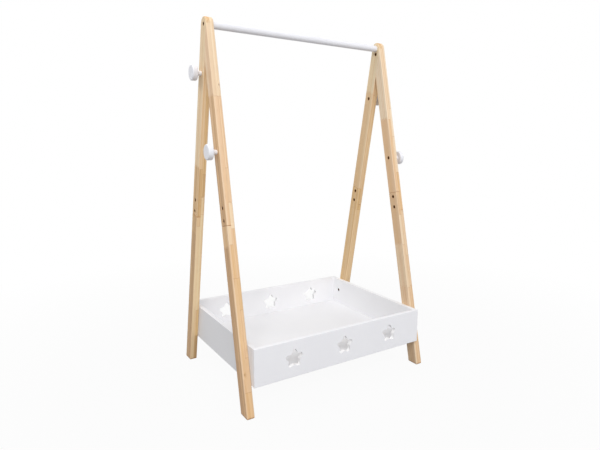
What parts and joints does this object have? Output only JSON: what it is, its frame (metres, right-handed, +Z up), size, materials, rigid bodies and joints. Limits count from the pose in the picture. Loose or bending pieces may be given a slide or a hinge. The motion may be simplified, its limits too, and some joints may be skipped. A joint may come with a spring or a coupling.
{
  "type": "clothes rack",
  "caption": "Child's clothes rack: pine A-frames joined by a white round hanging rail and a low white tray with star cut-outs, with white disc knobs on the legs' outer faces.",
  "frame": {"origin": "on the floor, midway between the four feet", "axes": "+X along the rail to the right, +Y to the back, +Z up"},
  "size_m": [0.634, 0.473, 1],
  "materials": {
    "pine": "planed pine, clear matt lacquer",
    "white_paint": "white satin paint",
    "dark_steel": "dark oxide",
    "zinc_steel": "zinc plated",
    "beech": "raw beech"
  },
  "bodies": {
    "root": {"left_front_upper_leg": "pine", "left_front_lower_leg": "pine", "left_front_knob": "white_paint", "left_rear_upper_leg": "pine", "left_rear_lower_leg": "pine", "left_rear_knob": "white_paint", "tray_left_side": "white_paint", "right_front_upper_leg": "pine", "right_front_lower_leg": "pine", "right_front_knob": "white_paint", "right_rear_upper_leg": "pine", "right_rear_lower_leg": "pine", "right_rear_knob": "white_paint", "tray_right_side": "white_paint", "tray_front_panel": "white_paint", "tray_back_panel": "white_paint", "tray_bottom": "white_paint", "hanging_rail": "white_paint", "lap_bolts": "dark_steel", "lap_sleeve_nuts": "dark_steel", "rail_bolts": "dark_steel", "apex_screws": "dark_steel", "knob_screws": "dark_steel", "tray_bolts": "dark_steel", "rail_insert_nuts": "zinc_steel", "tray_insert_nuts": "zinc_steel", "tray_dowels": "beech"}
  },
  "joints": []
}
